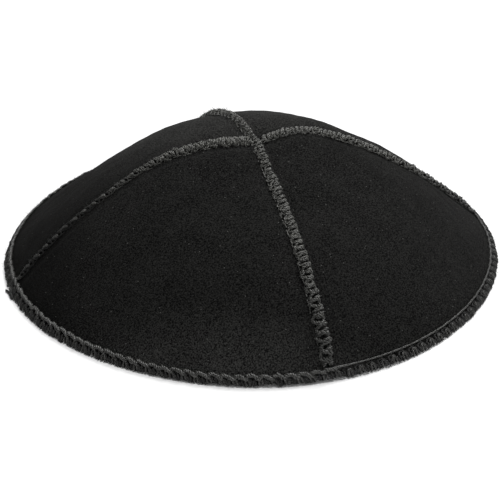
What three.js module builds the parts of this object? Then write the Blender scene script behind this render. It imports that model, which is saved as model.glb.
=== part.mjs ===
// Four-gore suede kippah: a shallow dome of four suede gores, joined by overlocked seams that stand
// up outside, and edged all round by the same overlock stitch. Millimetres, +Z up. It lies on its
// rim at z = 0, with its axis on Z and the front end of the long seam towards -Y.
//
// Every piece is first laid out flat, as it would lie on the cutting table: x and y are the place
// that a point has in plan, and z is its distance off the outer face of the suede. The flat pieces
// are then moulded over the same dome, so the gaps and thicknesses between them stay what they were.
import * as THREE from "three";

// Driving dimensions of the dome
const RIM_RADIUS = 85;
const RIM_CORNER = 0.6; // the rim reaches out this much at a seam, and in as much between two
const CROWN_HEIGHT = 44.5;
const CROWN_OFFSET = { x: 0.6, y: -1.2 }; // the seams cross a little off the rim's middle
const RIM_HEIGHT = 0.3; // height of the suede's outer face where it reaches the rim's radius

// Driving dimensions of the suede, the seams and the rim
const SUEDE = 1.1;
const GAP = 0.25;
const SEAM_CORE = 0.8; // width of the seam between the two cut edges
const SEAM_WIDTH = 2.8;
const SEAM_HEIGHT = 2.2;
const SEAM_SHOULDER = 1.1; // height at which the seam's sides turn into its round back
const RIM_WALL = 0.55;
const RIM_BAND = 2.3; // width of the rim's band, measured in plan
const RIM_ROUND = 1.0; // reach of the rim's round edge past the band, measured in plan

// Steps of the meshes
const PANEL_STEPS_OUT = 18;
const PANEL_STEPS_ACROSS = 18;
const LONG_SEAM_STEPS = 44;
const SHORT_SEAM_STEPS = 22;
const RIM_STEPS = 88;

// The dome's outer face in eight upright sections through its crown, in order of azimuth. Each row
// gives the height over the rim's plane at one, two, three and four fifths of the rim's radius, and
// the sideways bow of the section in plan, positive anticlockwise. The gores dip between the seams.
const SECTIONS = [
  { name: "right_seam", fifth: 45.0, two_fifths: 38.5, three_fifths: 28.5, four_fifths: 16.0, bow: 3.5 },
  { name: "back_right", fifth: 45.5, two_fifths: 39.5, three_fifths: 29.5, four_fifths: 17.5, bow: 1.0 },
  { name: "back_seam", fifth: 44.5, two_fifths: 39.0, three_fifths: 30.0, four_fifths: 17.0, bow: 1.5 },
  { name: "back_left", fifth: 44.0, two_fifths: 38.5, three_fifths: 28.5, four_fifths: 14.5, bow: -2.0 },
  { name: "left_seam", fifth: 44.0, two_fifths: 39.5, three_fifths: 29.5, four_fifths: 17.0, bow: -3.5 },
  { name: "front_left", fifth: 42.5, two_fifths: 37.5, three_fifths: 29.5, four_fifths: 17.5, bow: -1.5 },
  { name: "front_seam", fifth: 41.5, two_fifths: 37.0, three_fifths: 31.0, four_fifths: 19.5, bow: -0.5 },
  { name: "front_right", fifth: 43.0, two_fifths: 37.0, three_fifths: 29.0, four_fifths: 17.0, bow: 1.0 },
];
const SECTION_ANGLE = (2 * Math.PI) / SECTIONS.length;
const RINGS = 5; // steps from the axis to the rim at which the sections give a height

// Value between two neighbours on a smooth curve through four, at t from 0 to 1 past the second
function between(before, start, end, after, t) {
  const slopeIn = (end - before) / 2;
  const slopeOut = (after - start) / 2;
  const t2 = t * t;
  const t3 = t2 * t;
  const values = (2 * t3 - 3 * t2 + 1) * start + (3 * t2 - 2 * t3) * end;
  return values + (t3 - 2 * t2 + t) * slopeIn + (t3 - t2) * slopeOut;
}

// Value of one column of the sections at any azimuth
function aroundSections(column, azimuth) {
  const count = SECTIONS.length;
  const place = (((azimuth / SECTION_ANGLE) % count) + count) % count;
  const row = Math.floor(place);
  const value = (offset) => SECTIONS[(row + offset + count) % count][column];
  return between(value(-1), value(0), value(1), value(2), place - row);
}

// Height of the outer face over the rim's plane
function domeHeight(radius, azimuth) {
  const rings = [
    CROWN_HEIGHT,
    aroundSections("fifth", azimuth),
    aroundSections("two_fifths", azimuth),
    aroundSections("three_fifths", azimuth),
    aroundSections("four_fifths", azimuth),
    RIM_HEIGHT,
  ];
  const place = (radius / RIM_RADIUS) * RINGS;
  const ring = Math.min(Math.floor(place), RINGS - 1);
  // The curve is level at the crown, and past the rim it keeps the bend that it has at the rim.
  const before = ring === 0 ? rings[1] : rings[ring - 1];
  const past = 3 * (rings[RINGS] - rings[RINGS - 1]) + rings[RINGS - 2];
  const after = ring === RINGS - 1 ? past : rings[ring + 2];
  return between(before, rings[ring], rings[ring + 1], after, place - ring);
}

// Point of the outer face over a place in plan
function domePoint(x, y) {
  const radius = Math.hypot(x, y);
  const azimuth = Math.atan2(y, x);
  const out = radius / RIM_RADIUS;
  const reach = radius * (1 + (RIM_CORNER / RIM_RADIUS) * out * out * Math.cos(4 * azimuth));
  const inside = Math.max(0, 1 - out);
  const sideways = aroundSections("bow", azimuth) * 4 * out * inside;
  return new THREE.Vector3(
    reach * Math.cos(azimuth) - sideways * Math.sin(azimuth) + CROWN_OFFSET.x * inside,
    reach * Math.sin(azimuth) + sideways * Math.cos(azimuth) + CROWN_OFFSET.y * inside,
    domeHeight(radius, azimuth),
  );
}

// Lays a flat piece over the dome. What would reach below the rim's plane is pressed flat on it.
const PROBE = 0.05;
function mould(geometry) {
  const flat = geometry.getAttribute("position");
  for (let i = 0; i < flat.count; i++) {
    const x = flat.getX(i);
    const y = flat.getY(i);
    const alongX = domePoint(x + PROBE, y).sub(domePoint(x - PROBE, y));
    const alongY = domePoint(x, y + PROBE).sub(domePoint(x, y - PROBE));
    const outward = alongX.cross(alongY).normalize();
    const place = domePoint(x, y).addScaledVector(outward, flat.getZ(i));
    flat.setXYZ(i, place.x, place.y, Math.max(0, place.z));
  }
  geometry.computeVertexNormals();
  return geometry;
}

// Suede gore: a quarter of a disc between two seams, turned by a number of quarter turns
const SUEDE_EDGE = RIM_RADIUS - RIM_ROUND - GAP;
function gore(quarterTurns) {
  const inset = SEAM_CORE / 2 + GAP;
  const sheet = new THREE.BoxGeometry(1, 1, SUEDE, PANEL_STEPS_OUT, PANEL_STEPS_ACROSS, 1);
  const flat = sheet.getAttribute("position");
  for (let i = 0; i < flat.count; i++) {
    const outward = flat.getX(i) + 0.5;
    const angle = (flat.getY(i) + 0.5) * (Math.PI / 2);
    // Distance from the gore's tip, which lies off the axis by the seam's half width both ways
    const side = inset * (Math.cos(angle) + Math.sin(angle));
    const toEdge = Math.sqrt(side * side + SUEDE_EDGE * SUEDE_EDGE - 2 * inset * inset) - side;
    const fromTip = outward * toEdge;
    flat.setXYZ(
      i,
      inset + fromTip * Math.cos(angle),
      inset + fromTip * Math.sin(angle),
      flat.getZ(i) - SUEDE / 2,
    );
  }
  sheet.rotateZ((quarterTurns * Math.PI) / 2);
  return mould(sheet);
}

// Overlocked seam: a core between the cut edges, and a round-backed ridge over them, which leans to
// one side and spreads towards the rim. It runs from one distance to another along a line through
// the axis, turned from +X.
const SEAM_END = RIM_RADIUS - RIM_BAND - RIM_ROUND - GAP;
function seam({ from, to, turn, lean, spread, steps }) {
  const core = SEAM_CORE / 2;
  const half = SEAM_WIDTH / 2;
  const left = lean - half;
  const right = lean + half;
  const section = new THREE.Shape();
  section.moveTo(-core, -SUEDE);
  section.lineTo(core, -SUEDE);
  section.lineTo(core, GAP);
  section.lineTo(right, GAP);
  section.lineTo(right + lean / 4, SEAM_SHOULDER);
  section.quadraticCurveTo(right + lean / 2, SEAM_HEIGHT, lean * 1.5, SEAM_HEIGHT);
  section.quadraticCurveTo(left + lean / 2, SEAM_HEIGHT, left + lean / 4, SEAM_SHOULDER);
  section.lineTo(left, GAP);
  section.lineTo(-core, GAP);
  section.closePath();
  const run = { depth: to - from, steps, bevelEnabled: false, curveSegments: 2 };
  const ridge = new THREE.ExtrudeGeometry(section, run);
  // The section stands in the plane across the line, with the line along +X.
  ridge.rotateX(Math.PI / 2);
  ridge.rotateZ(Math.PI / 2);
  ridge.translate(from, 0, 0);
  const flat = ridge.getAttribute("position");
  for (let i = 0; i < flat.count; i++) {
    if (flat.getZ(i) > GAP / 2 && Math.abs(flat.getY(i)) > core * 1.01) {
      flat.setY(i, flat.getY(i) * (1 + (spread * Math.abs(flat.getX(i))) / RIM_RADIUS));
    }
  }
  ridge.rotateZ(turn);
  return mould(ridge);
}

// Overlocked rim: a band on both faces of the suede, joined round its edge
function rim() {
  const bandStart = RIM_RADIUS - RIM_ROUND - RIM_BAND;
  const outerFace = GAP + RIM_WALL;
  const innerFace = -SUEDE - GAP - RIM_WALL;
  const middle = -SUEDE / 2;
  const bend = (outerFace - middle) * Math.SQRT1_2;
  const section = [
    new THREE.Vector2(bandStart, GAP),
    new THREE.Vector2(bandStart, outerFace),
    new THREE.Vector2(RIM_RADIUS - RIM_ROUND, outerFace),
    new THREE.Vector2(RIM_RADIUS - RIM_ROUND * (1 - Math.SQRT1_2), middle + bend),
    new THREE.Vector2(RIM_RADIUS, middle),
    new THREE.Vector2(RIM_RADIUS - RIM_ROUND * (1 - Math.SQRT1_2), middle - bend),
    new THREE.Vector2(RIM_RADIUS - RIM_ROUND, innerFace),
    new THREE.Vector2(bandStart, innerFace),
    new THREE.Vector2(bandStart, -SUEDE - GAP),
    new THREE.Vector2(SUEDE_EDGE + GAP, -SUEDE - GAP),
    new THREE.Vector2(SUEDE_EDGE + GAP, GAP),
  ];
  section.push(section[0].clone());
  section.reverse();
  const ring = new THREE.LatheGeometry(section, RIM_STEPS);
  ring.rotateX(Math.PI / 2);
  return mould(ring);
}

// Materials: suede with its nap raised, and the thick spun thread of the overlock stitches
const suede = new THREE.MeshStandardMaterial({ color: 0x1a1a1b, roughness: 0.98, metalness: 0 });
const thread = new THREE.MeshStandardMaterial({ color: 0x3c3c3d, roughness: 0.75, metalness: 0 });

const kippah = new THREE.Group();
kippah.name = "kippah";

function addPiece(name, geometry, material) {
  const mesh = new THREE.Mesh(geometry, material);
  mesh.name = name;
  kippah.add(mesh);
}

const GORES = [
  { name: "panel_back_right", quarterTurns: 0 },
  { name: "panel_back_left", quarterTurns: 1 },
  { name: "panel_front_left", quarterTurns: 2 },
  { name: "panel_front_right", quarterTurns: 3 },
];
for (const { name, quarterTurns } of GORES) {
  addPiece(name, gore(quarterTurns), suede);
}

// The long seam leans to +X, and the short ones to the back. They end just beside it.
const LONG_LEAN = 0.8;
const SHORT_LEAN = 0.3;
const SEAMS = [
  {
    name: "long_seam",
    from: -SEAM_END,
    to: SEAM_END,
    turn: Math.PI / 2,
    lean: -LONG_LEAN,
    spread: 0.5,
    steps: LONG_SEAM_STEPS,
  },
  {
    name: "right_seam",
    from: SEAM_WIDTH / 2 + LONG_LEAN * 1.5 + GAP,
    to: SEAM_END,
    turn: 0,
    lean: SHORT_LEAN,
    spread: 0.1,
    steps: SHORT_SEAM_STEPS,
  },
  {
    name: "left_seam",
    from: SEAM_WIDTH / 2 - LONG_LEAN + GAP * 2,
    to: SEAM_END,
    turn: Math.PI,
    lean: -SHORT_LEAN,
    spread: 0.1,
    steps: SHORT_SEAM_STEPS,
  },
];
for (const { name, ...line } of SEAMS) {
  addPiece(name, seam(line), thread);
}

addPiece("rim_binding", rim(), thread);

export default kippah;
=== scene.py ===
# %% [markdown]
# # A four-gore kippah in black suede
#
# A kippah of this kind is four gores of suede. Their edges are held together, standing up outside,
# and an overlock machine wraps them in three thick threads. The same stitch then goes once round
# the rim. This lesson models the suede and every thread, and gives them their finishes, light and
# camera.
#
# The imported CAD model gives the frame: eight plain solids, in metres, with +Z up and the front end
# of the long seam towards -Y. They stay in the scene, and each one that a new piece stands for is
# hidden.

# %% Load the frame
import math

import bpy
import numpy as np
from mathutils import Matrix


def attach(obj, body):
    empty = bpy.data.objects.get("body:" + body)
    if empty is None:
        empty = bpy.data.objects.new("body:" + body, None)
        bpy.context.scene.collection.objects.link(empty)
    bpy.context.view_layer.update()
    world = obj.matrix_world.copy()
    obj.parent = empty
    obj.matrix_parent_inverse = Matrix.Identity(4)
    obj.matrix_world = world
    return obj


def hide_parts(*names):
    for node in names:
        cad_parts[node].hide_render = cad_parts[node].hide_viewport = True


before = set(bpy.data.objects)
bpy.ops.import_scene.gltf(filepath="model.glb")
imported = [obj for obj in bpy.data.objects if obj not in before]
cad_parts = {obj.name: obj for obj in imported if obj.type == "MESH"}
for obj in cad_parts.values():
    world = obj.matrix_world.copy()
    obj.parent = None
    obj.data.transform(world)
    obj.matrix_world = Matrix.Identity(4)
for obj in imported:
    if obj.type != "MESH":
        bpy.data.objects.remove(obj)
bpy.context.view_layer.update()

MM = 0.001  # one millimetre, in Blender's metres

# %% [markdown]
# ## The form of the cap
#
# Suede keeps the form that it was sewn to, with small dips between the seams where it goes slack.
# It could be draped by a cloth simulation, but a gore held along all its edges hardly moves in
# one, and its form is already measured in the plain solids. So the form is one function. It takes
# a point of a flat layout, where x and y are the place in plan and z is the distance off the
# suede's outer face, and lays it over the dome. Gores and threads are laid out flat and then sent
# through it.

# %% Upright sections of the dome
RIM_RADIUS = 85 * MM
RIM_CORNER = 0.6 * MM  # the rim reaches out this much at a seam, and in as much between two
CROWN_HEIGHT = 44.5 * MM
CROWN_OFFSET = np.array([0.6, -1.2]) * MM  # the seams cross a little off the rim's middle
RIM_HEIGHT = 0.3 * MM
RINGS = 5  # the radius is divided into fifths
GORE_COUNT = 4

# Heights at one to four fifths of the radius, and the sideways bow in plan, in millimetres. One
# section for each eighth of a turn from +X.
SECTIONS = {
    "right_seam": (45.0, 38.5, 28.5, 16.0, 3.5),
    "back_right": (45.5, 39.5, 29.5, 17.5, 1.0),
    "back_seam": (44.5, 39.0, 30.0, 17.0, 1.5),
    "back_left": (44.0, 38.5, 28.5, 14.5, -2.0),
    "left_seam": (44.0, 39.5, 29.5, 17.0, -3.5),
    "front_left": (42.5, 37.5, 29.5, 17.5, -1.5),
    "front_seam": (41.5, 37.0, 31.0, 19.5, -0.5),
    "front_right": (43.0, 37.0, 29.0, 17.0, 1.0),
}
section_table = np.array(list(SECTIONS.values())) * MM
print("sections:", ", ".join(SECTIONS))


# %% A smooth curve through a row of values
def between(before, start, end, after, t):
    """Value at t, from 0 at start to 1 at end, on a smooth curve through four neighbours."""
    slope_in, slope_out = (end - before) / 2, (after - start) / 2
    rise = 3 * t**2 - 2 * t**3
    bend = (t**3 - 2 * t**2 + t) * slope_in + (t**3 - t**2) * slope_out
    return (1 - rise) * start + rise * end + bend


def around_sections(azimuth):
    """All five columns of the sections at each azimuth."""
    count = len(section_table)
    place = (azimuth / (2 * np.pi / count)) % count
    row = np.floor(place).astype(int)
    t = (place - row)[:, None]
    rows = [section_table[(row + step) % count] for step in (-1, 0, 1, 2)]
    return between(*rows, t)


right_heights = around_sections(np.array([0.0]))[0, :4] / MM
print("heights over the right seam, mm:", right_heights.round(1).tolist())


# %% The dome in plan and height
def dome_point(x, y):
    """Points of the suede's outer face over places in plan."""
    radius, azimuth = np.hypot(x, y), np.arctan2(y, x)
    columns = around_sections(azimuth)
    crown, rim = np.full(len(x), CROWN_HEIGHT), np.full(len(x), RIM_HEIGHT)
    past = 3 * (rim - columns[:, 3]) + columns[:, 2]
    # One height more before the crown and after the rim, so that every ring has two neighbours
    rings = np.column_stack([columns[:, 0], crown, columns[:, :4], rim, past])
    place = radius / RIM_RADIUS * RINGS
    ring = np.minimum(np.floor(place).astype(int), RINGS - 1)
    near = [rings[np.arange(len(x)), ring + step] for step in (0, 1, 2, 3)]
    height = between(*near, place - ring)
    out = radius / RIM_RADIUS
    inside = np.maximum(0, 1 - out)
    corner = RIM_CORNER / RIM_RADIUS * out**2 * np.cos(GORE_COUNT * azimuth)
    reach = radius * (1 + corner)
    # The bow is full halfway to the rim, where out times inside is a quarter.
    sideways = columns[:, 4] * 4 * out * inside
    along, across = np.cos(azimuth), np.sin(azimuth)
    return np.column_stack([
        reach * along - sideways * across + CROWN_OFFSET[0] * inside,
        reach * across + sideways * along + CROWN_OFFSET[1] * inside,
        height,
    ])


# %% How flat pieces are laid over the dome
PROBE = 0.05 * MM  # steps this long to each side show how the dome slopes


def lay_over_dome(flat):
    """Moves points of the flat layout, in metres, to their places on the cap."""
    x, y, off = flat.T
    along_x = dome_point(x + PROBE, y) - dome_point(x - PROBE, y)
    along_y = dome_point(x, y + PROBE) - dome_point(x, y - PROBE)
    outward = np.cross(along_x, along_y)
    outward /= np.linalg.norm(outward, axis=1, keepdims=True)
    return dome_point(x, y) + outward * off[:, None]


crown_top = lay_over_dome(np.array([[0, 0, 0], [0, -RIM_RADIUS, 0]]))
print("crown and front of the rim, mm:", (crown_top / MM).round(1).tolist())


# %% Seeded unevenness
def ripple(places, size, seed, waves=14):
    """Smooth unevenness, mostly from -1 to 1, with rises and hollows about size across."""
    dice = np.random.default_rng(seed)
    ways = dice.normal(size=(waves, places.shape[1]))
    ways /= np.linalg.norm(ways, axis=1, keepdims=True)
    ways *= np.pi / size * dice.uniform(0.6, 1.5, (waves, 1))
    phases = dice.uniform(0, 2 * np.pi, waves)
    return np.sin(places @ ways.T + phases).sum(axis=1) / math.sqrt(waves)


print("unevenness at two places:", ripple(np.eye(2), 1.0, 1).round(2).tolist())

# %% [markdown]
# ## Finishes
#
# There are two materials, suede and thread. The suede has one finish outside and one inside, and
# the thread has three, lit and shaded copies that differ in how much painted shade they carry. One
# helper adds a shader node with its settings and links, and one turns a colour that was read as sRGB
# hex into the linear values that the shaders want.

# %% Helpers for materials
def linear(hex_colour):
    """sRGB hex to linear red, green, blue and alpha."""
    parts = [int(hex_colour[i:i + 2], 16) / 255 for i in (1, 3, 5)]
    return [c / 12.92 if c <= 0.04045 else ((c + 0.055) / 1.055) ** 2.4 for c in parts] + [1.0]


def add_node(tree, kind, settings, links=None):
    """Adds a node. Settings are its own properties or its sockets' values, links their sources."""
    node = tree.nodes.new(kind)
    for name, value in settings.items():
        if isinstance(name, str) and name.islower():
            setattr(node, name, value)
        else:
            node.inputs[name].default_value = value
    for name, source in (links or {}).items():
        tree.links.new(source, node.inputs[name])
    return node


def new_material(name):
    """An empty material, and its node tree."""
    material = bpy.data.materials.new(name)
    material.use_nodes = True
    material.node_tree.nodes.clear()
    return material, material.node_tree


print("middle grey in linear values:", [round(value, 3) for value in linear("#808080")])

# %% [markdown]
# ### Black suede
#
# Suede is leather whose flesh side is sanded to a short, dense nap and dyed through. It has no
# gloss. Light that grazes the nap is scattered by the fibre ends, so the cap looks lighter towards
# its outline: that is sheen. The nap is brushed in patches by handling, which gives soft clouds a
# few millimetres wide, and single fibres show as a fine grain. Real fibres are about 0.05 mm thick
# and would vanish at this distance, so the grain is drawn at 0.5 mm, as tufts of fibres. The nap
# could be grown as hair, but it is far shorter than a pixel, so a pattern and a bump do the same.

# %% Grain and clouds of the nap
CLOUD = 9 * MM
TUFT = 0.48 * MM
CLOUD_SHARE = 0.16  # how much the clouds count beside the grain


def draw_nap(tree, place, dark, light):
    """The colour of the nap, and the grain that its bumps follow too."""
    clouds = add_node(
        tree, "ShaderNodeTexNoise",
        {"Scale": 1 / CLOUD, "Detail": 3.0, "Roughness": 0.6}, {"Vector": place},
    )
    grain = add_node(
        tree, "ShaderNodeTexNoise",
        {"Scale": 1 / TUFT, "Detail": 1.0, "Roughness": 0.6}, {"Vector": place},
    )
    # Clouds and grain together choose between the darker and the lighter side of the nap.
    mixed = add_node(
        tree, "ShaderNodeMath", {"operation": "MULTIPLY_ADD", 1: CLOUD_SHARE},
        {0: clouds.outputs["Fac"], 2: grain.outputs["Fac"]},
    )
    nap = add_node(
        tree, "ShaderNodeMapRange",
        {"From Min": 0.43, "From Max": 0.78}, {"Value": mixed.outputs[0]},
    )
    colour = add_node(
        tree, "ShaderNodeMix", {"data_type": "RGBA", 6: linear(dark), 7: linear(light)},
        {0: nap.outputs[0]},
    )
    return colour.outputs[2], grain.outputs["Fac"]


# %% Painted light and shade on the nap
# Painted light and shade: the nap is made lighter towards the front rim and the back of the crown,
# and darker on the left flank, as the light falls on the cap. Each zone has a direction, the places
# along it in millimetres where its tone starts and is full, and its tone.
PAINTED_LIGHT_ZONES = {
    "front_rim": ((-0.42, -0.91, 0.0), 63, 84, 2.2),
    "back_of_crown": ((0.0, 0.5, 0.87), 34, 50, 2.1),
    "left": ((-0.91, 0.41, 0.0), 42, 68, 0.45),
}


# Scales the nap's colour by the painted light and shade of each zone.
def paint_light_on_nap(tree, place, colour):
    for way, start, full, tone in PAINTED_LIGHT_ZONES.values():
        reached = add_node(
            tree, "ShaderNodeVectorMath", {"operation": "DOT_PRODUCT", 1: way}, {0: place}
        )
        painted_tone = add_node(
            tree, "ShaderNodeMapRange",
            {
                "interpolation_type": "SMOOTHSTEP",
                "From Min": start * MM, "From Max": full * MM, "To Min": 1.0, "To Max": tone,
            },
            {"Value": reached.outputs["Value"]},
        )
        colour = add_node(
            tree, "ShaderNodeVectorMath", {"operation": "SCALE"},
            {0: colour, "Scale": painted_tone.outputs[0]},
        ).outputs[0]
    return colour


# %% Dust on the nap
FLECK_SPACING = 2.6 * MM


def dust_nap(tree, place, colour):
    """Dust and loose fibre ends: a few pale flecks, a third of a millimetre wide."""
    flecks = add_node(
        tree, "ShaderNodeTexVoronoi",
        {"Scale": 1 / FLECK_SPACING, "Randomness": 1.0}, {"Vector": place},
    )
    # The distances are shares of the spacing.
    speck = add_node(
        tree, "ShaderNodeMapRange",
        {"From Min": 0.075, "From Max": 0.045, "To Max": 0.55},
        {"Value": flecks.outputs["Distance"]},
    )
    dusty = add_node(
        tree, "ShaderNodeMix", {"data_type": "RGBA", 7: linear("#6a6a68")},
        {0: speck.outputs[0], 6: colour},
    )
    return dusty.outputs[2]


# %% Suede
GRAIN_HEIGHT = 0.12 * MM


def make_suede(name, dark, light):
    material, tree = new_material(name)
    place = add_node(tree, "ShaderNodeTexCoord", {}).outputs["Object"]
    colour, grain = draw_nap(tree, place, dark, light)
    # The nap's painted light and shade by zone, then its dust.
    colour = dust_nap(tree, place, paint_light_on_nap(tree, place, colour))
    bump = add_node(
        tree, "ShaderNodeBump", {"Strength": 0.9, "Distance": GRAIN_HEIGHT}, {"Height": grain}
    )
    shader = add_node(
        tree, "ShaderNodeBsdfPrincipled",
        {
            "Roughness": 1.0,
            "IOR": 1.45,
            "Specular IOR Level": 0.05,
            "Sheen Weight": 0.008,
            "Sheen Roughness": 0.45,
            "Sheen Tint": linear("#f4f4f0"),
        },
        {"Base Color": colour, "Normal": bump.outputs[0]},
    )
    add_node(tree, "ShaderNodeOutputMaterial", {}, {"Surface": shader.outputs[0]})
    return material


black_suede = make_suede("black_suede_nap", "#040404", "#252524")
suede_inside = make_suede("black_suede_inside", "#0a0a0a", "#2e2e2d")
print("suede:", black_suede.name, suede_inside.name)

# %% [markdown]
# ### Spun overlock thread
#
# The thread is thick spun polyester, three plies twisted together. It is smoother than the nap, so
# it looks lighter, with soft highlights on top of each loop. Its twist could be drawn as slanting
# stripes, but the plies themselves are modelled here, so the finish only has to show their fibres:
# a fine noise that goes from dark to light. Its colour is also scaled by height, as painted shade
# and light: darker the nearer it is to the rim, and lighter towards the crown. So there are three
# copies of one thread: as spun; shaded, with painted shade that reaches up to the crown, for the
# front of the left ridge; and a darker one, with painted shade, for the threads that lie in the rim.

# %% Thread
FIBRE_SPACING = 0.3 * MM
FIBRE_HEIGHT = 0.12 * MM


def make_thread(name, hollow, top, roughness, specular, height_shade=(10, 34, 0.45)):
    """height_shade gives the heights, in mm, from the darkest painted shade to full painted light,
    and that shade's tone.
    """
    material, tree = new_material(name)
    place = add_node(tree, "ShaderNodeTexCoord", {}).outputs["Object"]
    fibre = add_node(
        tree, "ShaderNodeTexNoise",
        {"Scale": 1 / FIBRE_SPACING, "Detail": 3.0, "Roughness": 0.7}, {"Vector": place},
    )
    shade = add_node(
        tree, "ShaderNodeMapRange",
        {"From Min": 0.42, "From Max": 0.66}, {"Value": fibre.outputs["Fac"]},
    )
    unshaded_colour = add_node(
        tree, "ShaderNodeMix", {"data_type": "RGBA", 6: linear(hollow), 7: linear(top)},
        {0: shade.outputs[0]},
    )
    # Painted shade and light by height: darker low down towards the rim, lighter at the crown.
    height = add_node(tree, "ShaderNodeSeparateXYZ", {}, {"Vector": place})
    low, high, low_tone = height_shade
    tone = add_node(
        tree, "ShaderNodeMapRange",
        {"From Min": low * MM, "From Max": high * MM, "To Min": low_tone, "To Max": 1.2},
        {"Value": height.outputs["Z"]},
    )
    height_shaded_colour = add_node(
        tree, "ShaderNodeVectorMath", {"operation": "SCALE"},
        {0: unshaded_colour.outputs[2], "Scale": tone.outputs[0]},
    )
    bump = add_node(
        tree, "ShaderNodeBump",
        {"Strength": 0.7, "Distance": FIBRE_HEIGHT}, {"Height": fibre.outputs["Fac"]},
    )
    shader = add_node(
        tree, "ShaderNodeBsdfPrincipled",
        {"Roughness": roughness, "IOR": 1.55, "Specular IOR Level": specular},
        {"Base Color": height_shaded_colour.outputs[0], "Normal": bump.outputs[0]},
    )
    add_node(tree, "ShaderNodeOutputMaterial", {}, {"Surface": shader.outputs[0]})
    return material


# Lit and shaded copies of one thread, all with painted shade and light by height: spun_thread as
# lit, shaded_thread with deep painted shade low on the front of the left ridge, and a darker copy
# with painted shade for the rim's upper looper, the loose fibres and the thread ends.
spun_thread = make_thread("spun_thread", "#060606", "#74746f", 0.42, 0.5)
shaded_thread = make_thread("shaded_thread", "#060606", "#74746f", 0.6, 0.3, (26, 42, 0.08))
shade_painted_thread = make_thread("shade_painted_thread", "#080808", "#4e4e4c", 0.6, 0.3)
print("threads:", spun_thread.name, shaded_thread.name, shade_painted_thread.name)

# %% [markdown]
# ## The gores
#
# Each gore is a quarter of the dome. Along both seams its edge turns up and stands outside as the
# seam's allowance, a little over a millimetre high, so that two gores meet back to back inside
# the stitches. A gore could be a flat sheet that the seam merely hides, but then nothing dark
# would stand between the threads. So the grid has six closer lines along each seam, which make
# the fold. Solidify then gives the leather its thickness towards the inside.

# %% Measures of the suede
SUEDE = 1.1 * MM
SUEDE_EDGE = RIM_RADIUS - 1.5 * MM  # the cut edge, inside the rim's stitches
# Across the fold: distance from the seam's plane and height over the outer face, in millimetres
FOLD = np.array([(0.5, 1.1), (0.5, 0.8), (0.55, 0.45), (0.8, 0.18), (1.3, 0.05), (2.0, 0.0)])
FOLD_TOP = FOLD[0, 1] * MM
LONG_LEAN = 1.0 * MM  # the long seam's allowance leans this far to +X
SHORT_LEAN = 0.35 * MM  # the short seams' leans to the back
LEAN_CURVE = 1.3  # over 1, so an allowance leans more towards its top
STANDING_SHARE = 0.27  # of the suede's thickness, which is left inside the stitches

# How wide and high a ridge is, as a share of its usual size, at places along it in millimetres
LONG_SIZE = ([-84, -70, -45, 0, 84], [1.45, 1.2, 1.05, 0.95, 0.85])  # along Y, front to back
SHORT_SIZE = ([-84, -50, -15, -3, 3, 84], [0.7, 0.62, 1.25, 1.3, 1.0, 1.0])  # along X


def ridge_size(places, table):
    return np.interp(places / MM, *table)


def seam_height(radius):
    """Share of its full height that a standing edge has, low where the rim's stitches cross."""
    return np.interp(radius, [77 * MM, 81.5 * MM, RIM_RADIUS], [1.0, 0.35, 0.3])


print("long ridge's size at the front rim:", ridge_size(-SUEDE_EDGE, LONG_SIZE).round(2))


# %% Helpers for pieces
def choose_only(piece):
    """Selects one object and nothing else, as operators need."""
    bpy.ops.object.select_all(action="DESELECT")
    piece.select_set(True)
    bpy.context.view_layer.objects.active = piece


def vertex_places(piece):
    places = np.empty(len(piece.data.vertices) * 3)
    piece.data.vertices.foreach_get("co", places)
    return places.reshape(-1, 3)


def move_vertices(piece, places):
    piece.data.vertices.foreach_set("co", places.astype(np.float32).ravel())
    piece.data.update()


def triangle_count(piece):
    return sum(len(face.vertices) - 2 for face in piece.data.polygons)


def finish_piece(piece, slot, *nodes):
    """Rides the piece on the cap and hides the nodes that it stands for."""
    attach(piece, "root")
    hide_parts(*nodes)
    print(f"{piece.name}: {triangle_count(piece)} triangles")


# %% The lines of a gore's grid
GORE_LINES = 110
# The fold first, then evenly to the cut edge
even_lines = np.linspace(3.1 * MM, SUEDE_EDGE, GORE_LINES - len(FOLD))
line_places = np.concatenate([FOLD[:, 0] * MM, even_lines])
line_heights = np.concatenate([FOLD[:, 1] * MM, np.zeros(len(even_lines))])
print(f"{GORE_LINES} lines, {(even_lines[1] - even_lines[0]) / MM:.2f} mm apart past the fold")


def round_corner(place):
    """Rounds the outer lines of a square to the rim's circle."""
    farther = place.max(axis=1)
    round_off = 1 - (1 - farther / np.hypot(*place.T)) * (farther / SUEDE_EDGE) ** 2
    return place * round_off[:, None]


# %% The flat layout of a gore
DIP, DIP_SIZE = 0.22 * MM, 16 * MM  # slack suede between the seams
WRINKLE, WRINKLE_SIZE = 0.05 * MM, 3 * MM
TAUT = 12 * MM  # the rim holds the suede flat up to this far inside it
# A shallow groove beside each seam, where the stitches pull the suede down
GROOVE_DEPTH, GROOVE_PLACE, GROOVE_WIDTH = 0.4 * MM, 2.6 * MM, 1.1 * MM


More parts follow.
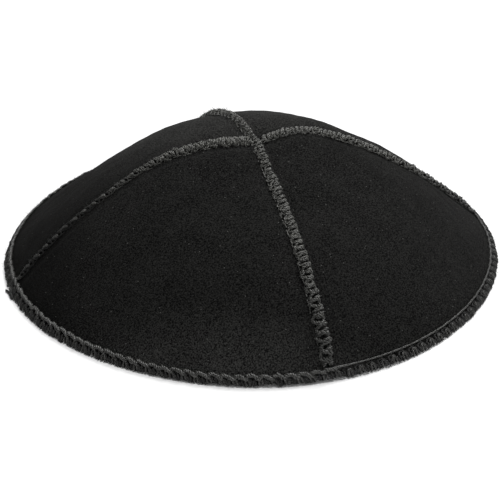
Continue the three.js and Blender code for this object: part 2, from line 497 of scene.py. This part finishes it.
def gore_layout(lines, quarter_turns, seed):
    """Flat layout of the grid's points, from the numbers of the two lines that each is on."""
    place = round_corner(line_places[lines])
    height = line_heights[lines] * seam_height(np.hypot(*place.T))[:, None]
    folded = lines < len(FOLD)
    for _ in range(quarter_turns):
        place = np.column_stack([-place[:, 1], place[:, 0]])
        height, folded = height[:, ::-1], folded[:, ::-1]
    # Now the first column is the fold along the long seam, and the second along the short one.
    size = np.column_stack([
        ridge_size(place[:, 1], LONG_SIZE), ridge_size(place[:, 0], SHORT_SIZE),
    ])
    place = np.where(folded, place * size, place)
    height = height * size
    place[:, 0] += LONG_LEAN * (height[:, 0] / FOLD_TOP) ** LEAN_CURVE
    place[:, 1] += SHORT_LEAN * (height[:, 1] / FOLD_TOP) ** LEAN_CURVE
    off = height.max(axis=1)
    slack = np.clip((SUEDE_EDGE - np.hypot(*place.T)) / TAUT, 0, 1)
    off += DIP * ripple(place, DIP_SIZE, seed) * slack
    off += WRINKLE * ripple(place, WRINKLE_SIZE, seed + 50)
    from_seam = np.abs(place).min(axis=1)
    off -= GROOVE_DEPTH * np.exp(-((from_seam - GROOVE_PLACE) / GROOVE_WIDTH) ** 2)
    return np.column_stack([place, off])


# %% One gore
UPRIGHT = 0.3 * MM  # what stands higher than this is thin, as it is inside the stitches
SHARP = math.radians(50)  # edges that turn more than this stay sharp


def make_gore(name, quarter_turns, seed):
    last = GORE_LINES - 1
    bpy.ops.object.select_all(action="DESELECT")
    bpy.ops.mesh.primitive_grid_add(
        x_subdivisions=last, y_subdivisions=last, size=1, location=(0, 0, 0)
    )
    gore = bpy.context.object
    gore.name = gore.data.name = name
    lines = np.rint((vertex_places(gore)[:, :2] + 0.5) * last).astype(int)
    move_vertices(gore, lay_over_dome(gore_layout(lines, quarter_turns, seed)))
    standing = gore.vertex_groups.new(name="standing_edge")
    upright = np.flatnonzero(line_heights[lines].max(axis=1) > UPRIGHT)
    standing.add(upright.tolist(), 1.0, "REPLACE")
    gore.data.materials.append(black_suede)
    gore.data.materials.append(suede_inside)
    choose_only(gore)
    bpy.ops.object.modifier_add(type="SOLIDIFY")
    wall = gore.modifiers[-1]
    wall.thickness = SUEDE
    wall.offset = -1
    wall.vertex_group = "standing_edge"
    wall.invert_vertex_group = True
    wall.thickness_vertex_group = STANDING_SHARE
    wall.material_offset = 1
    bpy.ops.object.modifier_apply(modifier=wall.name)
    bpy.ops.object.shade_smooth_by_angle(angle=SHARP)
    return gore


GORES = ("panel_back_right", "panel_back_left", "panel_front_left", "panel_front_right")
for turns, name in enumerate(GORES):
    gore = make_gore("suede_" + name.removeprefix("panel_"), turns, 3 + turns)
    finish_piece(gore, "suede", name)

# %% [markdown]
# ## The threads
#
# A three-thread overlock has a needle thread, which runs along the stitch's inner line, and two
# looper threads. The upper looper zigzags between that line and the edge on the outer side, the
# lower looper does so on the inner side, and the two catch each other at the edge. A stitch could
# be modelled once and repeated by an Array, but then every loop is the same and the joins show. A
# real thread is one length from end to end, so each is drawn as one curve here: the course that it
# takes in one stitch is repeated, each time a little different, laid over the dome, and given its
# thickness by the curve's own round bevel.

# %% Measures of a thread
COURSE_STEPS = 2  # points of a thread for each point of its course
# How much the stitches differ: in width and height as shares, and in their lift over the suede
# and the place of each point (along as a share of the pitch, across, up) in millimetres
WIDTH_SPREAD, HEIGHT_SPREAD, LIFT_SPREAD = 0.07, 0.05, 0.06
POINT_SPREAD = [0.02, 0.06, 0.05]
PLIES = 3
PLY_TURN = 2.6 * MM  # the length of thread in which its plies go once round
PLY_RADIUS, PLY_REACH = 0.24, 0.3  # a ply's own, and to its middle line, as shares of the thread
# How much thickness and reach differ along a thread, as shares, and over what length they do so
THICKNESS_SPREAD, THICKNESS_LENGTH = 0.08, 1.6 * MM
REACH_SPREAD, REACH_LENGTH = 0.35, 1.2 * MM
print(f"a thread's {PLIES} plies turn once in {PLY_TURN / MM:.1f} mm")


# %% The course of a thread
def thread_course(course, count, pitch, seed, uneven, closed=False):
    """Distance along, across and up for each point of a thread that makes count stitches.

    course gives its points in one stitch: share of the pitch, across and up, in millimetres.
    """
    dice = np.random.default_rng(seed)
    shape = np.array(course, dtype=float)
    runs = []
    for stitch in range(count):
        width = dice.normal(1, WIDTH_SPREAD * uneven)
        height = dice.normal(1, HEIGHT_SPREAD * uneven)
        loop = shape * [1, width, height]
        loop += dice.normal(0, 1, loop.shape) * POINT_SPREAD * uneven
        loop[:, 0] = (loop[:, 0] + stitch) * pitch / MM
        loop[:, 2] += dice.normal(0, LIFT_SPREAD * uneven)
        runs.append(loop)
    knots = np.concatenate(runs)
    # Past its ends a closed thread goes on as it does at the other end, an open one straight on.
    step = np.array([count * pitch / MM, 0, 0])
    before = knots[-1:] - step if closed else 2 * knots[:1] - knots[1:2]
    after = knots[:2] + step if closed else np.repeat(2 * knots[-1:] - knots[-2:-1], 2, axis=0)
    knots = np.concatenate([before, knots, after])
    last = len(knots) - 3 if closed else len(knots) - 4
    near = [knots[k:k + last] for k in (0, 1, 2, 3)]
    points = [between(*near, share) for share in np.arange(COURSE_STEPS) / COURSE_STEPS]
    return np.stack(points, axis=1).reshape(-1, 3) * MM


# %% The plies of a thread
def twist_plies(places, reach, seed):
    """Lines that wind round a thread's middle line, each about reach away from it."""
    ahead = np.diff(places, axis=0, append=2 * places[-1:] - places[-2:-1])
    lengths = np.linalg.norm(ahead, axis=1)
    ahead /= lengths[:, None]
    # One direction across the thread is carried along it, so that only the plies turn.
    across = np.zeros_like(ahead)
    carried = np.cross(ahead[0], (0.3, 0.5, 0.8))  # any direction that no thread starts in
    for k, way in enumerate(ahead):
        carried = carried - way * (carried @ way)
        carried /= np.linalg.norm(carried)
        across[k] = carried
    beside = np.cross(ahead, across)
    for ply in range(PLIES):
        turn = (np.cumsum(lengths) / PLY_TURN + ply / PLIES)[:, None] * 2 * np.pi
        away = reach * (1 + REACH_SPREAD * ripple(places, REACH_LENGTH, seed + ply))
        yield places + away[:, None] * (across * np.cos(turn) + beside * np.sin(turn))


# %% A thread from its course
def make_lines(name, lines, radii, material, closed=False, roundness=1):
    """One mesh of round lines, made with a curve's own bevel."""
    curve = bpy.data.curves.new(name, "CURVE")
    curve.dimensions = "3D"
    curve.bevel_depth = 1.0  # times the radius of each point
    curve.bevel_resolution = roundness
    curve.use_fill_caps = not closed
    for line, radius in zip(lines, radii):
        spline = curve.splines.new("POLY")
        spline.points.add(len(line) - 1)
        spline.use_cyclic_u = closed
        spline.points.foreach_set("co", np.column_stack([line, np.ones(len(line))]).ravel())
        spline.points.foreach_set("radius", radius)
    piece = bpy.data.objects.new(name, curve)
    bpy.context.collection.objects.link(piece)
    choose_only(piece)
    bpy.ops.object.convert(target="MESH")
    piece = bpy.context.object
    bpy.ops.object.shade_smooth()
    piece.data.materials.append(material)
    return piece


def make_thread_piece(name, places, thickness, seed, material, closed=False, fullness=1, loose=1):
    """A thread of plies along places, as full and as loosely twisted as it is said to be."""
    spread = THICKNESS_SPREAD * ripple(places, THICKNESS_LENGTH, seed)
    full = thickness * fullness * (1 + spread)
    plies = list(twist_plies(places, PLY_REACH * full * loose, seed))
    for ply in plies:
        ply[:, 2] = np.maximum(ply[:, 2], PLY_RADIUS * full)  # nothing goes through the table
    return make_lines(name, plies, [PLY_RADIUS * full] * PLIES, material, closed)


# %% [markdown]
# Spun thread is never clean. Short fibres stand off it everywhere, too thin to be seen one by one,
# and together they soften its outline. A bump cannot do that, so they are real lines here: about a
# thousand on each short seam, and two thousand on the long seam and on the rim.

# %% Loose fibres
BALL_CENTRE = 60 * MM  # outwards is away from a point this far under the table
FIBRE_LENGTHS = (0.6, 1.3)  # shortest and longest, in millimetres
FIBRE_POINTS = (0, 0.4, 0.75, 1.0)  # as shares of its length, from its root to its tip
FIBRE_RADII = np.array([0.035, 0.03, 0.025, 0.015]) * MM
STRAY, CURL = 0.8, 0.35  # how far its way differs from outwards, and how much it bends
TABLE_GAP = 0.05 * MM


def make_fibres(name, places, count, seed):
    """Short thin fibres that stand off the threads whose middle lines go through places."""
    dice = np.random.default_rng(seed)
    starts = places[dice.integers(0, len(places), count)]
    outward = starts + [0, 0, BALL_CENTRE]
    outward /= np.linalg.norm(outward, axis=1, keepdims=True)
    ways = dice.normal(size=(count, 3)) * STRAY + outward
    ways /= np.linalg.norm(ways, axis=1, keepdims=True)
    bends = dice.normal(size=(count, 3)) * CURL
    lengths = dice.uniform(*FIBRE_LENGTHS, (count, 1)) * MM
    steps = [starts + lengths * (ways * t + bends * t**2) for t in FIBRE_POINTS]
    fibres = np.stack(steps, axis=1)
    fibres[:, :, 2] = np.maximum(fibres[:, :, 2], TABLE_GAP)
    return make_lines(name, fibres, [FIBRE_RADII] * count, shade_painted_thread, roundness=0)


# %% [markdown]
# ### The seams
#
# On a standing seam the needle line is at the foot of the ridge, on its left side as the machine
# saw it, and the loopers meet on top, so each stitch shows there as a pair of round lobes. A rope
# with a bump could stand for them, but the light falls between the lobes onto the suede, so each
# thread takes its own way over the ridge.

# %% Courses on a standing seam
# Share of the pitch, across (the needle's side is minus) and up over the suede's outer face
SEAM_COURSES = {
    "needle": [
        (0.00, -0.80, -0.30), (0.10, -1.05, -0.10), (0.30, -1.15, 0.02), (0.70, -1.15, 0.02),
        (0.90, -1.05, -0.10),
    ],
    "upper_looper": [
        (0.00, -0.80, 0.40), (0.12, -0.80, 0.85), (0.20, -0.45, 1.28), (0.20, 0.10, 1.38),
        (0.22, 0.65, 1.20), (0.27, 0.88, 0.95), (0.33, 0.68, 1.20), (0.35, 0.10, 1.40),
        (0.34, -0.45, 1.28), (0.38, -0.80, 0.85), (0.46, -1.05, 0.30), (0.62, -1.10, 0.10),
        (0.74, -0.95, 0.45), (0.80, -0.80, 0.75), (0.90, -0.85, 0.55),
    ],
    "lower_looper": [
        (0.00, 0.85, 0.65), (0.10, 0.90, 0.30), (0.30, 0.95, 0.15), (0.50, 0.90, 0.40),
        (0.62, 0.80, 0.85), (0.70, 0.45, 1.28), (0.70, -0.10, 1.38), (0.72, -0.65, 1.20),
        (0.77, -0.88, 0.95), (0.83, -0.68, 1.20), (0.85, -0.10, 1.40), (0.84, 0.45, 1.28),
        (0.91, 0.80, 0.95),
    ],
}
SEAM_THREAD = 0.8 * MM
SEAM_END = RIM_RADIUS - 3.1 * MM
SEAM_UNEVEN = 1.4
LEANING_HEIGHT = 1.5 * MM  # a thread this high has the ridge's whole lean
MOST_LEAN = 1.2  # of that height, past which it leans no more
NEEDLE_FULLNESS = 0.6
LOOPER_FULLNESS = (0.85, 1.5)  # least and most, as the ridge gets bigger
FIBRES_PER_MM = 12
print("points in a stitch:", {name: len(course) for name, course in SEAM_COURSES.items()})


# %% Sewing a seam
def sew_seam(name, start, end, turn, pitch, side, lean, slant, seed):
    """Three threads from start to end along a line through the axis, turned from +X.

    Across is positive to the left of the line. Side is 1 if the needle's line is on its right.
    Slant is how far a thread moves on along the seam for each millimetre across it.
    """
    count = round((end - start) / pitch)
    pitch = (end - start) / count
    sizes = LONG_SIZE if name == "long_seam" else SHORT_SIZE
    laid = []
    for number, (thread_name, course) in enumerate(SEAM_COURSES.items()):
        along, across, up = thread_course(course, count, pitch, seed + number, SEAM_UNEVEN).T
        along = along + start + slant * across
        # The sizes are given along +X and +Y, and the left seam runs the other way.
        size = ridge_size(along * (math.cos(turn) + math.sin(turn)), sizes)
        up = up * size * seam_height(np.abs(along))
        leaning = np.clip(up / LEANING_HEIGHT, 0, MOST_LEAN) ** LEAN_CURVE
        across = side * across * size + lean * leaning
        turned = np.column_stack([
            along * math.cos(turn) - across * math.sin(turn),
            along * math.sin(turn) + across * math.cos(turn),
            up,
        ])
        laid.append(lay_over_dome(turned))
        fullness = np.clip(1.1 * size, *LOOPER_FULLNESS)
        if thread_name == "needle":
            fullness = NEEDLE_FULLNESS
        in_shade = name == "left_seam" and thread_name != "lower_looper"
        piece = make_thread_piece(
            f"{name}_{thread_name}", laid[-1], SEAM_THREAD, seed + number + 10,
            shaded_thread if in_shade else spun_thread,
            fullness=fullness, loose=np.maximum(fullness, 1),
        )
        finish_piece(piece, "thread", name)
    fibre_count = round((end - start) / MM * FIBRES_PER_MM)
    fibres = make_fibres(f"{name}_fibres", np.concatenate(laid[1:]), fibre_count, seed + 20)
    finish_piece(fibres, "thread", name)
    print(f"{name}: {count} stitches of {pitch / MM:.2f} mm")


# The long seam's threads lean a fifth more than the allowance inside them.
sew_seam(
    "long_seam", start=-SEAM_END, end=SEAM_END, turn=math.pi / 2, pitch=3.9 * MM,
    side=-1, lean=-LONG_LEAN * 1.2, slant=0.1, seed=100,
)
sew_seam(
    "right_seam", start=3.0 * MM, end=SEAM_END, turn=0, pitch=3.5 * MM,
    side=1, lean=SHORT_LEAN, slant=0.5, seed=200,
)
sew_seam(
    "left_seam", start=1.5 * MM, end=SEAM_END, turn=math.pi, pitch=3.3 * MM,
    side=-1, lean=-SHORT_LEAN, slant=0.6, seed=300,
)

# %% [markdown]
# ### The rim
#
# Round the rim the machine wraps one layer. The needle thread lies on the outer face, the upper
# looper runs from it down to the edge, and the lower looper does the same on the underside, which
# lies on the table. A torus could stand for it, but its edge would be smooth where the real one is
# notched by every stitch. The needle thread's tension was not the same all round: from the left to
# the front it lies slack, as a thick rope of slanting stitches, and elsewhere as a thin line.

# %% Courses on the rim
# Share of the pitch, distance out from the stitch's inner line, and height over the outer face
RIM_COURSES = {
    "needle": [
        (-0.12, 0.55, 0.00), (0.00, 0.40, 0.28), (0.25, 0.35, 0.42), (0.55, 0.50, 0.46),
        (0.80, 0.70, 0.38), (1.00, 0.75, 0.12),
    ],
    "upper_looper": [
        (0.00, 0.70, 0.05), (0.12, 1.10, 0.20), (0.28, 1.55, 0.24), (0.42, 1.85, -0.05),
        (0.50, 2.00, -0.45), (0.55, 2.02, -0.60), (0.60, 1.90, -0.10), (0.56, 1.55, 0.26),
        (0.48, 1.15, 0.26), (0.52, 0.80, 0.08), (0.75, 0.60, 0.02),
    ],
    "lower_looper": [
        (0.25, 1.55, -1.15), (0.50, 0.60, -1.30), (0.72, 1.55, -1.15), (0.84, 2.00, -0.60),
        (0.86, 1.85, 0.00), (0.84, 1.45, 0.24), (0.84, 1.05, 0.26), (0.96, 0.90, 0.24),
        (1.08, 1.20, 0.26), (1.14, 1.55, 0.24), (1.18, 1.85, -0.10), (1.18, 2.00, -0.60),
    ],
}
# The rim's upper looper gets the darker copy, whose painted shade stands for the shade it lies in.
RIM_FINISHES = {
    "needle": spun_thread, "upper_looper": shade_painted_thread, "lower_looper": spun_thread,
}
RIM_THREAD = 0.75 * MM
RIM_STITCHES = 127
RIM_UNEVEN = 0.7
STITCH_WIDTH = 2.1 * MM  # in the courses, from the stitch's inner line to its edge
NEEDLE_LINE = 0.15 * MM  # where a tight needle thread lies
TIGHT_FULLNESS, SLACK_FULLNESS = 0.7, 2.0  # of the needle thread
RIM_FIBRES = 1800
rim_pitch = 2 * math.pi * RIM_RADIUS / RIM_STITCHES
print(f"rim: {RIM_STITCHES} stitches of {rim_pitch / MM:.2f} mm")

# %% The rim's unevenness
# Round the rim from +X, in degrees: how far the stitch's edge is inside the rim's circle, how wide
# the stitch is there, and how slack its needle thread is
RIM_PLACES = [0, 90, 150, 180, 225, 245, 266, 275, 320, 360]
RIM_EDGE = np.array([0.1, 0.5, 0.5, 0.1, 0.2, 0.4, 0.5, 0.4, 0.0, 0.1]) * MM
RIM_WIDTH = [1.5, 1.15, 1.2, 1.6, 1.2, 1.15, 1.1, 1.15, 1.45, 1.5]
RIM_SLACK = [0.12, 0.12, 0.5, 0.8, 1.0, 1.8, 1.8, 0.12, 0.12, 0.12]
print("slackest needle thread at, degrees:", RIM_PLACES[int(np.argmax(RIM_SLACK))])


# %% Sewing the rim
def lay_round_rim(angle, radius, up):
    """Points round the axis, sent over the dome and kept on the table."""
    flat = np.column_stack([radius * np.cos(angle), radius * np.sin(angle), up])
    places = lay_over_dome(flat)
    places[:, 2] = np.maximum(places[:, 2], RIM_THREAD / 2)
    return places


laid = []
for number, (thread_name, course) in enumerate(RIM_COURSES.items()):
    along, out, up = thread_course(
        course, RIM_STITCHES, rim_pitch, 400 + number, RIM_UNEVEN, closed=True
    ).T
    angle = along / RIM_RADIUS
    round_rim = np.degrees(angle) % 360
    edge, width, slack = (
        np.interp(round_rim, RIM_PLACES, row) for row in (RIM_EDGE, RIM_WIDTH, RIM_SLACK)
    )
    fullness = 1
    if thread_name == "needle":
        out = NEEDLE_LINE + (out - NEEDLE_LINE) * slack
        fullness = TIGHT_FULLNESS + (SLACK_FULLNESS - TIGHT_FULLNESS) * np.minimum(slack, 1)
    radius = RIM_RADIUS - edge - (STITCH_WIDTH - out) * width
    laid.append(lay_round_rim(angle, radius, up))
    piece = make_thread_piece(
        f"rim_{thread_name}", laid[-1], RIM_THREAD, 410 + number, RIM_FINISHES[thread_name],
        closed=True, fullness=fullness,
    )
    finish_piece(piece, "thread", "rim_binding")
fibres = make_fibres("rim_fibres", np.concatenate(laid), RIM_FIBRES, 430)
finish_piece(fibres, "thread", "rim_binding")

# %% [markdown]
# The overlock starts and ends at the left rim. Its two thread ends are cut short there and lie
# across each other at the edge, as a small tuft. They could be left out, as they are only a few
# pixels, but they are the one place where the rim's outline is broken.

# %% Thread ends
# Azimuth in degrees, distance out from the rim's circle and height, in millimetres
TAILS = {
    "start": [(182.0, -0.9, 0.4), (181.2, -0.5, 0.5), (180.3, 0.0, 0.3), (179.3, 0.6, 0.2)],
    "end": [(180.0, -1.1, 0.4), (181.0, -0.6, 0.5), (182.2, -0.3, 0.3), (183.4, 0.0, 0.2)],
}
for number, (tail_name, tail) in enumerate(TAILS.items()):
    azimuth, out, up = np.array(tail).T
    places = lay_round_rim(np.radians(azimuth), RIM_RADIUS + out * MM, up * MM)
    piece = make_thread_piece(
        f"rim_thread_{tail_name}", places, RIM_THREAD, 440 + number, shade_painted_thread, fullness=1.5
    )
    finish_piece(piece, "thread", "rim_binding")

# %% [markdown]
# ## Floor, light and camera
#
# The floor is one pale plane, large enough to fill the picture. The light is soft: two lights
# above, one of them towards the back right, and two weaker ones in front. One small lamp would be
# simpler, but its hard shadows would hide the nap. The camera looks down at the cap by 29.6
# degrees, from 0.9 m away.

# %% Floor
bpy.ops.object.select_all(action="DESELECT")
bpy.ops.mesh.primitive_plane_add(size=6, location=(0, 0, 0))
floor = bpy.context.object
floor.name = "floor"
paper, tree = new_material("white_paper")
surface = add_node(
    tree, "ShaderNodeBsdfPrincipled",
    {"Base Color": linear("#e6e6e6"), "Roughness": 0.9, "Specular IOR Level": 0.1},
)
add_node(tree, "ShaderNodeOutputMaterial", {}, {"Surface": surface.outputs[0]})
floor.data.materials.append(paper)
print("floor, m:", [round(side, 1) for side in floor.dimensions])


# %% Lights
def add_light(name, place, size, power):
    """A square soft light that faces the cap."""
    lamp = bpy.data.lights.new(name, "AREA")
    lamp.shape = "SQUARE"
    lamp.size = size
    lamp.energy = power
    light = bpy.data.objects.new(name, lamp)
    light.location = place
    light.rotation_euler = (-light.location).to_track_quat("-Z", "Y").to_euler()
    bpy.context.collection.objects.link(light)
    print(f"{name}: {power} W, {light.location.length:.1f} m away")


add_light("light_above", (0.2, 0.2, 1.6), 0.6, 21)
add_light("light_above_back", (0.7, 0.8, 1.3), 0.6, 20)
add_light("light_front_low", (0.3, -1.6, 0.45), 0.9, 6)
add_light("light_front_right", (0.9, -1.2, 1.0), 0.9, 4)
world = bpy.data.worlds.new("studio")
bpy.context.scene.world = world
world.use_nodes = True
sky = world.node_tree.nodes["Background"]
sky.inputs["Color"].default_value = linear("#ffffff")
sky.inputs["Strength"].default_value = 0.07
bpy.context.scene.view_settings.view_transform = "Standard"

# %% Camera
PICTURE = 500  # the picture's width, in pixels
FOCAL_LENGTH = 2605  # in pixels too
SENSOR = 36
DISTANCE = 0.9019
ELEVATION, AZIMUTH = math.radians(29.57), math.radians(-107.0)
camera_data = bpy.data.cameras.new("camera")
camera_data.sensor_width = SENSOR
camera_data.lens = SENSOR * FOCAL_LENGTH / PICTURE
camera_data.shift_x = -1.3 / PICTURE
camera_data.shift_y = 6.1 / PICTURE
camera = bpy.data.objects.new("camera", camera_data)
camera.location = (
    DISTANCE * math.cos(ELEVATION) * math.cos(AZIMUTH),
    DISTANCE * math.cos(ELEVATION) * math.sin(AZIMUTH),
    DISTANCE * math.sin(ELEVATION),
)
camera.rotation_euler = (-camera.location).to_track_quat("-Z", "Y").to_euler()
bpy.context.collection.objects.link(camera)
bpy.context.scene.camera = camera
print("camera at, m:", [round(value, 3) for value in camera.location])
